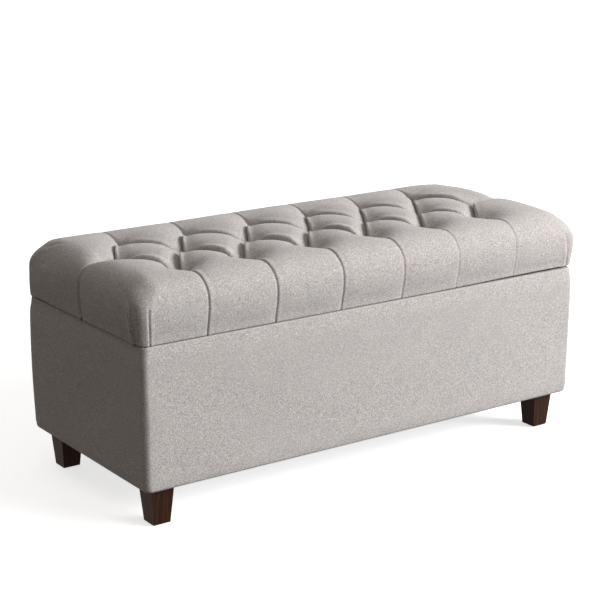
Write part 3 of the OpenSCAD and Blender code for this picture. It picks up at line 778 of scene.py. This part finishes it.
    def build(self):
        place, normal, pleats = self.tuft()
        place = self.settled(place, pleats)
        for pleat in pleats:
            self.fold(place, normal, pleat)
        self.corner_darts(place, normal)
        self.drift(place)
        place[:, 2] = np.where(self.down > self.foot, self.place[:, 2], place[:, 2])
        self.hang(place, -1.0 * MM, 1 - smoothstep(place[:, 0], 0, 0.45))
        self.hang(place, 2.2 * MM, smoothstep(place[:, 0], 0.12, 0.45))
        faces = [tuple(q) for q in self.quads] + [tuple(self.cap)]
        return mesh_object("lid_cover_tufted", place, faces, self.uvs())

    def hang(self, place, height, share):
        """Lifts the lower edge by a height at the front and ends, but not the cloth turned in under the lid."""
        edge = (self.down > 0) & (self.down < self.turned_in)
        low = smoothstep(place[:, 2], self.bottom + 25 * MM, self.bottom + 4 * MM)
        place[:, 2] += height * low * share * (1 - smoothstep(place[:, 1], 0.10, 0.18)) * edge

    def fold(self, place, normal, pleat):
        """Turns a crease into a knife pleat: a lip that stands over a narrow gap."""
        kind, widest = pleat["kind"], 45 * MM
        near = pleat["on"] & (np.abs(pleat["distance"]) < widest)
        d = pleat["distance"][near] / MM
        t = pleat["t"][near]
        x, in_front = self.i[near] * self.du, self.j[near] < 0
        fade = 1.0
        if kind == "a":
            flank = np.interp(d, (-42, -28, -17, -9, -4, -2, 0), (0, -3.4, -6.8, -8.4, -7.0, -4.0, 0))
            raised = np.interp(d, (-14, -5, -2.2, 0, 2.0, 4.0, 6.0, 8.5, 12, 22),
                               (0, -1.5, -4.0, -8.5, 6.8, 5.0, 1.2, -0.8, -1.0, 0))
            raised *= np.interp(x, (-0.45, 0, 0.45), (0.9, 0.7, 0.5))
            flank *= np.interp(x, (-0.45, 0, 0.45), (1.0, 0.75, 0.3))
            raised += flank * np.where(in_front, 1.0, 0.45) * arch(t) ** 0.5
            moved = np.interp(d, (-26, -14, -4, 0, 2.0, 4.0, 6.5, 11, 16),
                              (0, 0.8, 1.8, 1.4, -1.8, -2.4, -1.8, -0.4, 0))
            moved -= 7 * arch(t) * np.exp(-(d / 22) ** 2)
        elif kind == "b":
            raised = np.interp(d, (-14, -6, -2.2, 0, 2.0, 4.2, 8, 14, 24),
                               (0, 1.2, -0.8, -9.0, -1.0, 2.2, 2.2, 0.6, 0))
            moved = np.interp(d, (-10, -2, 0, 2.0, 4.2, 8, 14, 26), (0, 0, 1.0, -3.6, -5.2, -4.4, -2.4, 0))
            open_gap = np.interp(x, (-0.45, 0.0, 0.2, 0.45), (1.0, 1.0, 0.55, 0.1))
            open_gap *= np.interp(t, (0, 0.15, 0.4, 0.8, 1.0), (0.1, 0.5, 1.0, 1.0, 0.4))
            open_gap = np.where(in_front, open_gap, 0.2 * arch(t))
            raised += open_gap * np.interp(d, (-44, -28, -14, -5, -1, 0, 2, 4.2, 8, 14, 24),
                                           (0, -1.6, -3.4, -3.8, -4.0, -9.0, -4.0, 3.6, 5.0, 3.4, 0))
        elif kind == "front":
            gain = np.interp(x, (-0.4, 0, 0.2, 0.42), (0.8, 0.45, 0.2, 0.18))
            gain = np.where(self.j[near] > 0, 0.2, gain)
            raised = np.interp(d, (-9, -4.6, -2.3, 0, 2.3, 4.6, 7, 10, 14, 20),
                               (0, 0.2, -0.6, -4.6, 1.2, 1.7, 1.0, -0.3, -0.5, 0)) * gain
            moved = np.interp(d, (-12, -5, -2.2, 0, 2.3, 4.6, 7, 12),
                              (0, 0.3, 0.9, 0.4, -1.6, -1.1, -0.5, 0)) * gain
            fade = 1 - 0.5 * smoothstep(t, 60 * MM, 190 * MM)
        else:
            raised = np.interp(d, (-14, -7.5, -3.75, 0, 3.75, 7.5, 12, 18),
                               (0, 0.3, -3.0, -7.5, 2.4, 2.0, 0.6, 0))
            moved = np.interp(d, (-12, -3.75, 0, 3.75, 12), (0, 1.5, 0.8, -1.5, 0))
            fade = smoothstep(t, 50 * MM, 90 * MM)
        shift = np.zeros((near.sum(), 3))
        shift[:, :2] = pleat["across"] * (moved * MM)[:, None]
        place[near] += shift + normal[near] * (raised * fade * MM)[:, None]

    def corner_darts(self, place, normal):
        """Two short folds down each corner, where the cloth's spare width is tucked under."""
        rings = self.rings[1:]
        steps, aim_row = 34, 30                     # steps looked at each side of the corner; row to aim by
        for end, side in ((-1, -1), (1, -1), (1, 1), (-1, 1)):
            at = int(np.nonzero((self.loop == (end * self.nu, side * self.nv)).all(axis=1))[0][0])
            window = (at + np.arange(-steps, steps + 1)) % rings.shape[1]
            ids = rings[:, window]
            p = place[ids]
            step = np.linalg.norm(np.diff(p[:, :, :2], axis=1), axis=2)
            s = np.concatenate([np.zeros((len(ids), 1)), np.cumsum(step, axis=1)], axis=1)
            s -= s[:, steps:steps + 1]
            z = p[:, :, 2]
            low = smoothstep(z, self.bottom + 84 * MM, self.bottom + 58 * MM)
            down = np.clip((self.bottom + 74 * MM - z) / (74 * MM), 0, 1)
            along = unit(np.gradient(p[:, :, :2], axis=1))
            for way, spread, run_in in ((-1, 30 * MM, 13 * MM), (1, 17 * MM, 2 * MM)):
                target = way * (spread - run_in * down[:, steps])
                line = int(np.argmin(np.abs(s[aim_row] - target[aim_row])))
                slide = np.clip(1 - np.abs(s - s[:, line:line + 1]) / (24 * MM), 0, 1)
                slide = (target - s[:, line])[:, None] * slide * low
                place[ids, :2] += along * slide[:, :, None]
                s = s + slide
                d = (s - target[:, None]) / MM * way
                if way < 0:
                    raised = np.interp(d, (-12, -6, -3, 0, 3.2, 6.5, 11, 18),
                                       (0, -0.3, -3.4, -8.0, 3.6, 3.6, 1.4, 0))
                    moved = np.interp(d, (-8, -3, 0, 3.2, 8), (0, 1.2, 0.6, -1.2, 0)) * way
                else:
                    raised = np.interp(d, (-9, -5, -2.4, 0, 2.4, 5, 8, 12),
                                       (0, 0.9, 1.5, -5.0, 0.8, 1.0, 0.3, 0))
                    moved = np.interp(d, (-6, -2.4, 0, 2.4, 6), (0, 1.5, 0.2, -0.5, 0)) * way
                share = low * (1.0 if end < 0 else 0.35)
                place[ids] += normal[ids] * (raised * share * MM)[:, :, None]
                place[ids, :2] += along * (moved * share * MM)[:, :, None]

    def drift(self, place):
        """Slides the tufts and pleats from their true places to where they were pulled."""
        six, seven = (2 * np.arange(6) - 5) * self.n, (2 * np.arange(7) - 6) * self.n
        front, back = np.interp(self.i, six, FRONT_TUFTS), np.interp(self.i, six, BACK_TUFTS)
        middle = np.interp(self.i, seven, MIDDLE_TUFTS)
        row = np.clip(self.j / self.n, -1, 1)
        pull = middle + np.where(row < 0, (front - middle) * -row, (back - middle) * row)
        past = np.maximum(np.abs(self.j) - self.n, 0) * self.dv + self.down
        pleats = np.interp(self.i, six, FRONT_PLEATS)
        pull = pull + np.where(self.j < -self.n, pleats - front, 0) * smoothstep(past, 0, 50 * MM)
        place[:, 0] += pull * MM * (1 - smoothstep(np.abs(place[:, 0]), 440 * MM, 525 * MM))

    def uvs(self):
        """Cloth coordinates in metres: the flat cloth before it is pulled over the edges."""
        u, v = self.i * self.du, self.j * self.dv
        end = np.abs(self.i) == self.nu
        long_side = (np.abs(self.j) == self.nv) & ~end
        v = np.where(long_side, v + np.sign(v) * self.down, v)
        u = np.where(end, u + np.sign(u) * self.down, u)
        corners = np.column_stack([u, v])[self.quads].reshape(-1, 2)
        return np.vstack([corners, self.place[self.cap, :2]])


def add_lid_cover(cloth):
    piece = LidCover().build()
    dress(piece, cloth, "lid", "upholstery", "lid_cover", "lid_batting", "lid_foam")


# ---------------------------------------------------------------- swept covers

def rounded_rectangle(half_w, half_d, radius, corner_steps, long_steps, end_steps):
    """Plan points anticlockwise from the front left, with the outward direction at each."""
    points, out = [], []
    steps = (long_steps, end_steps, long_steps, end_steps)
    corners = ((1, -1), (1, 1), (-1, 1), (-1, -1))
    for side in range(4):
        before, after = corners[side - 1], corners[side]
        centre_a = np.array([before[0] * (half_w - radius), before[1] * (half_d - radius)])
        centre_b = np.array([after[0] * (half_w - radius), after[1] * (half_d - radius)])
        facing = -math.pi / 2 + side * math.pi / 2
        normal = np.array([math.cos(facing), math.sin(facing)])
        for k in range(steps[side]):
            points.append(centre_a + (centre_b - centre_a) * k / steps[side] + normal * radius)
            out.append(normal)
        for k in range(corner_steps):
            turn = facing + math.pi / 2 * k / corner_steps
            way = np.array([math.cos(turn), math.sin(turn)])
            points.append(centre_b + way * radius)
            out.append(way)
    return np.array(points), np.array(out)


def swept_band(name, section, outline, wobble):
    """A closed band: section is a closed loop of (out, z), swept round outline(out), which gives the plan."""
    widest = outline(max(out for out, z in section))[0]
    step = np.linalg.norm(np.diff(widest, axis=0, append=widest[:1]), axis=1)
    uv_u = np.concatenate([[0], np.cumsum(step)])
    rings, run = [], []
    total = 0.0
    for k, (out, z) in enumerate(section):
        plan, way = outline(out)
        points = np.column_stack([plan, np.full(len(plan), z)])
        points[:, :2] += way * wobble(points, way)[:, None]
        rings.append(points)
        if k:
            total += math.hypot(out - section[k - 1][0], z - section[k - 1][1])
        run.append(total)
    run.append(total + math.hypot(section[0][0] - section[-1][0], section[0][1] - section[-1][1]))
    count, rows = len(rings[0]), len(rings)
    ids = np.arange(rows * count).reshape(rows, count)
    faces, uvs = [], []
    for k in range(rows):
        for m in range(count):
            n, kk = (m + 1) % count, (k + 1) % rows
            faces.append((ids[k, m], ids[kk, m], ids[kk, n], ids[k, n]))
            left, right = uv_u[m], uv_u[m + 1]
            uvs += [(left, -run[k]), (left, -run[k + 1]), (right, -run[k + 1]), (right, -run[k])]
    return mesh_object(name, np.concatenate(rings), faces, uvs)


def arc(centre, radius, start, end, steps):
    """(out, z) points round an arc, angles in degrees from straight out, anticlockwise."""
    angles = np.radians(np.linspace(start, end, steps + 1))
    return [(centre[0] + radius * math.cos(a), centre[1] + radius * math.sin(a)) for a in angles]


def add_base_cover(cloth):
    """Padded cloth over the base: in at the rim, down the bellied sides, rolled under and stapled."""
    low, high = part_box("base_cover")
    wall = high.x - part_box("storage_liner")[1].x
    proud, thickness, rim_r, hem_r, tuck = 5.5 * MM, 1.4 * MM, 3 * MM, 8 * MM, 38 * MM
    crest = 1.3 * MM
    section = [(-wall + 0.3 * MM, high.z - thickness), (-wall + 0.3 * MM, high.z - 0.4 * MM),
               (-wall + 2 * MM, high.z), (-rim_r - 6 * MM, high.z + 0.4 * crest), (-rim_r, high.z + crest)]
    section += arc((2 * MM - rim_r, high.z + crest - rim_r), rim_r, 88, 4, 7)
    top, bottom = section[-1][1], low.z + hem_r
    side_rows = 26
    for k in range(1, side_rows):
        z = top + (bottom - top) * k / side_rows
        swell = smoothstep(top - z, 0, 30 * MM) * (1 - 0.45 * smoothstep(top - z, 60 * MM, 275 * MM))
        section.append((2 * MM + (proud - 2 * MM) * swell, z))
    section += arc((2.6 * MM - hem_r, bottom), hem_r, 0, -90, 6)
    section += [(-tuck / 2, low.z), (-tuck, low.z), (-tuck, low.z + thickness), (-tuck / 2, low.z + thickness)]
    outer = [point for point in section if point[1] > low.z + thickness]
    inner = [(out - thickness, z) for out, z in outer[:4:-1]]
    section += [(out, min(z, high.z - thickness)) for out, z in inner]

    def outline(out):
        radius = max(12 * MM + min(out, 0.3 * out), 1 * MM)
        return rounded_rectangle(high.x + out, high.y + out, radius, 8, 90, 40)

    def wobble(points, way):
        x, y, z = points.T
        level = arch((z - low.z) / (high.z - low.z))
        flat = np.abs(way).max(axis=1) ** 12
        slack_end = 3 * MM * (x < -0.9 * high.x) * smoothstep(y, -0.10, 0.20)
        return level * flat * (1.0 * MM * waves(x + y, z * 1.6, (0.21, 0.34, 0.52), 11) + slack_end)

    piece = swept_band("base_cover_wrapped", section, outline, wobble)
    for vertex in piece.data.vertices:
        under_hinges = smoothstep(vertex.co.y, 0.12, 0.18)
        vertex.co.z -= max(vertex.co.z - high.z, 0) * under_hinges
    dress(piece, cloth, "base", "upholstery", "base_cover")


# ---------------------------------------------------------------- thin sheets

def thick_sheet(name, grid, thickness, uvs):
    """A closed sheet from a (rows, columns, 3) grid and a second face moved by thickness along its normals."""
    rows, columns = grid.shape[:2]
    along, across = np.gradient(grid, axis=1), np.gradient(grid, axis=0)
    normal = unit(np.cross(along, across))
    ids = np.arange(rows * columns).reshape(rows, columns)
    points = np.concatenate([grid.reshape(-1, 3), (grid + normal * thickness).reshape(-1, 3)])
    other = rows * columns
    faces, corners = [], []
    flat = uvs.reshape(-1, 2)

    def put(quad):
        faces.append(quad)
        corners.extend(flat[q % other] for q in quad)

    for r in range(rows - 1):
        for c in range(columns - 1):
            a, b, d, e = ids[r, c], ids[r, c + 1], ids[r + 1, c + 1], ids[r + 1, c]
            put((e, d, b, a))
            put((a + other, b + other, d + other, e + other))
            edges = ((a, b, r == 0), (b, d, c == columns - 2), (d, e, r == rows - 2), (e, a, c == 0))
            for p, q, outer in edges:
                if outer:
                    put((p, q, q + other, p + other))
    return mesh_object(name, points, faces, np.array(corners))


def boxed(points, half_w, half_d, radius):
    """Pushes plan points out to the edge of a rectangle with round corners, along their own direction."""
    core = np.column_stack([np.clip(points[:, 0], radius - half_w, half_w - radius),
                            np.clip(points[:, 1], radius - half_d, half_d - radius)])
    way = unit(points - core)
    return core + way * radius, way


def add_storage_liner(cloth):
    """The lining: cut as a cross, folded up the four walls, turned over at the rim and left a little slack."""
    low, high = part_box("storage_liner")
    thickness, fillet, corner = 1.0 * MM, 7 * MM, 9 * MM
    half_w, half_d = high.x - 0.2 * MM - thickness, high.y - 0.2 * MM - thickness
    floor, rim = low.z + thickness + 0.1 * MM, high.z - 0.4 * MM
    cell = 10 * MM
    nx, ny = round(2 * half_w / cell), round(2 * half_d / cell)
    i, j = np.meshgrid(np.linspace(-1, 1, nx + 1), np.linspace(-1, 1, ny + 1))
    flat_w, flat_d = half_w - fillet, half_d - fillet
    inner = np.stack([i * flat_w, j * flat_d, np.full(i.shape, floor)], -1)
    edge_ids = [(0, c) for c in range(nx)] + [(r, nx) for r in range(ny)]
    edge_ids += [(ny, c) for c in range(nx, 0, -1)] + [(r, 0) for r in range(ny, 0, -1)]
    r_ids, c_ids = (np.array(k) for k in zip(*edge_ids))
    loop = inner[r_ids, c_ids, :2]
    turns = np.radians((18, 36, 54, 72, 90))
    section = [(fillet * math.sin(turn), floor + fillet * (1 - math.cos(turn))) for turn in turns]
    walls = np.linspace(floor + fillet, rim, 27)[1:]
    section += [(fillet, z) for z in walls]
    run = np.cumsum([math.dist(a, b) for a, b in zip([(0, floor)] + section, section)])
    step = np.linalg.norm(np.diff(loop, axis=0, append=loop[:1]), axis=1)
    around = np.concatenate([[0], np.cumsum(step)])[:-1]
    to_corner = np.minimum(flat_w - np.abs(loop[:, 0]), 1) + np.minimum(flat_d - np.abs(loop[:, 1]), 1)
    points = [inner.reshape(-1, 3)]
    ripple = 0.5 + 0.5 * waves(i, j, (0.5, 0.8, 0.33), 21)
    points[0][:, 2] += 1.6 * MM * ((1 - i ** 4) * (1 - j ** 4) * ripple).ravel()
    for out, z in section:
        plan, way = boxed(loop * (1 + 1e-6), flat_w + out, flat_d + out, min(corner, 2 * MM + out))
        share = np.clip((z - floor) / (rim - floor), 0, 1)
        slack = 0.7 * MM * (1 + waves(around, z, (0.36, 0.23, 0.6), 33)) * math.sin(math.pi * share) ** 0.6
        gather = 0.6 * MM * np.exp(-to_corner / (45 * MM)) * np.sin(around / (5 * MM))
        gather = gather * math.sin(math.pi * share)
        hem = 0.5 * MM * smoothstep(z, rim - 15 * MM, rim - 13 * MM)
        stitch = -0.5 * MM if abs(z - (rim - 13 * MM)) < 5 * MM else 0.0
        inward = np.clip(slack + gather + hem + stitch, 0, 2.2 * MM) if out >= fillet else np.zeros(len(loop))
        points.append(np.column_stack([plan - way * inward[:, None], np.full(len(plan), z)]))
    place = np.concatenate(points)
    floor_ids = np.arange((ny + 1) * (nx + 1)).reshape(ny + 1, nx + 1)
    wall_ids = floor_ids.size + np.arange(len(section) * len(loop)).reshape(len(section), len(loop))
    rings = np.vstack([floor_ids[r_ids, c_ids], wall_ids])
    quads = np.vstack([grid_quads(floor_ids), ring_quads(rings)[:, ::-1]])
    normal = vertex_normals(place, quads)
    other = len(place)
    top = rings[-1]
    bridge = np.stack([top, np.roll(top, -1), np.roll(top, -1) + other, top + other], -1)
    everything = np.vstack([quads, quads[:, ::-1] + other, bridge[:, ::-1]])
    uv = np.zeros((other, 2))
    uv[:len(points[0])] = points[0][:, :2]
    for k in range(len(section)):
        ids = rings[k + 1]
        side = np.where(np.abs(loop[:, 1]) > flat_d - 1e-6, 1, 0)
        way = np.column_stack([np.sign(loop[:, 0]) * (1 - side), np.sign(loop[:, 1]) * side])
        uv[ids] = loop + way * run[k]
    uv = np.vstack([uv, uv])
    piece = mesh_object("liner_cloth", np.concatenate([place, place - normal * thickness]), everything,
                        uv[everything].reshape(-1, 2))
    dress(piece, cloth, "base", "lining", "storage_liner")


def sheet_lines(half, hem, cell):
    """Grid lines from -half to half, about a cell apart, with one on each side of the turned hem's step."""
    stops = sorted(side * (half - inset) for side in (-1, 1) for inset in (0, hem, hem + 1 * MM))
    lines = [stops[0]]
    for a, b in zip(stops, stops[1:]):
        count = max(1, round((b - a) / cell))
        lines += [a + (b - a) * k / count for k in range(1, count + 1)]
    return np.array(lines)


def add_dust_cloth(name, node, body, cloth, sag, spots):
    """A thin cloth stapled flat under the base or lid: turned edges, puckers at the staples, a slight sag."""
    low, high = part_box(node)
    centre_y = (low.y + high.y) / 2
    half_w, half_d, thickness = high.x, (high.y - low.y) / 2, 0.5 * MM
    hem, lip = 12 * MM, 0.25 * MM
    u, v = np.meshgrid(*(sheet_lines(half, hem, 9 * MM) for half in (half_w, half_d)))
    edge = np.minimum(half_w - np.abs(u), half_d - np.abs(v))
    held = np.clip(edge / (90 * MM), 0, 1)
    for spot_x, spot_y in spots:
        gap = np.maximum(np.abs(u - spot_x), np.abs(v + centre_y - spot_y))
        held = np.minimum(held, smoothstep(gap, 28 * MM, 90 * MM))
    pucker = 0.12 * MM * np.sin(2 * math.pi * (u + v) / (34 * MM)) * np.exp(-edge / (30 * MM)) * (edge > hem)
    drop = sag * held ** 1.5 * (0.75 + 0.25 * waves(u, v, (0.3, 0.17), 41))
    drop = np.maximum(drop + np.where(edge <= hem, lip, 0) + pucker, 0)
    grid = np.stack([u, v + centre_y, high.z - 0.05 * MM - thickness - drop], -1)
    piece = thick_sheet(name, grid, thickness, np.stack([u, v], -1))
    dress(piece, cloth, body, "dust_cloth", node)


# ---------------------------------------------------------------- CAD nodes

def paint_node(name, material, bevel=0.0):
    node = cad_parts[name]
    node.data.materials.clear()
    node.data.materials.append(material)
    if bevel:
        rounding = node.modifiers.new("edge", "BEVEL")
        rounding.width = bevel
        rounding.segments = 3
        rounding.limit_method = "ANGLE"


add_camera()
add_studio()
CLOTH = upholstery_material()
add_lid_cover(CLOTH)
add_base_cover(CLOTH)
add_storage_liner(lining_material())
DUST_CLOTH = dust_cloth_material()
leg_low, leg_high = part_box("leg_back_right")
leg_x, leg_y = (leg_low.x + leg_high.x) / 2, (leg_low.y + leg_high.y) / 2
add_dust_cloth("base_dust_cloth", "base_dust_cover", "base", DUST_CLOTH, 1.2 * MM,
               [(x * leg_x, y * leg_y) for x in (-1, 1) for y in (-1, 1)])
bracket_low, bracket_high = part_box("stay_bracket_right")
stay_x, stay_y = (bracket_low.x + bracket_high.x) / 2, (bracket_low.y + bracket_high.y) / 2
add_dust_cloth("lid_dust_cloth", "lid_dust_cover", "lid", DUST_CLOTH, 0.9 * MM,
               [(-stay_x, stay_y), (stay_x, stay_y)])

PLYWOOD = board_material("birch_plywood", (0.66, 0.50, 0.33), (0.56, 0.405, 0.25), (0.42, 0.28, 0.16), 9.0)
PINE = board_material("sawn_pine", (0.74, 0.58, 0.37), (0.66, 0.48, 0.28), (0.50, 0.31, 0.15), 60.0)
BATTING = open_fibre_material("polyester_batting", (0.90, 0.90, 0.88), (0.70, 0.70, 0.69), 500.0, 0.0012)
PLASTIC = moulded_material("glide_plastic", (0.016, 0.016, 0.017), (0.045, 0.045, 0.045), 0.45)
RUBBER = moulded_material("bumper_rubber", (0.012, 0.012, 0.012), (0.035, 0.034, 0.033), 0.65)
SIDES = ("front", "back", "left", "right")
CORNERS = ("front_left", "front_right", "back_left", "back_right")
FINISHES = (
    (leg_material(), 1.6 * MM, [f"leg_{corner}" for corner in CORNERS]),
    (PLYWOOD, 0.6 * MM, ("front_panel", "back_panel", "left_end_panel", "right_end_panel", "bottom_panel",
                         "lid_board")),
    (PINE, 0.8 * MM, [f"floor_cleat_{side}" for side in SIDES]),
    (PINE, 0.8 * MM, [f"corner_block_{corner}" for corner in CORNERS]),
    (BATTING, 0.0, [f"base_padding_{side}" for side in SIDES]),
    (PLASTIC, 0.5 * MM, ("leg_glides",)),
    (RUBBER, 0.4 * MM, ("lid_bumpers",)),
    (twine_material(), 0.0, ("tuft_twines",)),
    (zinc_material(), 0.25 * MM, (
        "base_staples", "hanger_bolts", "t_nuts", "panel_screws", "cleat_screws", "base_hinge_leaf_left",
        "base_hinge_leaf_right", "base_hinge_screws", "hinge_pins", "stay_pins", "lid_staples", "tuft_washers",
        "lid_hinge_leaf_left", "lid_hinge_leaf_right", "lid_hinge_screws", "stay_bracket_left",
        "stay_bracket_right", "stay_bracket_screws", "stay_rivets", "stay_arm_left", "stay_arm_right")),
)
for finish, rounding, names in FINISHES:
    for name in names:
        paint_node(name, finish, rounding)
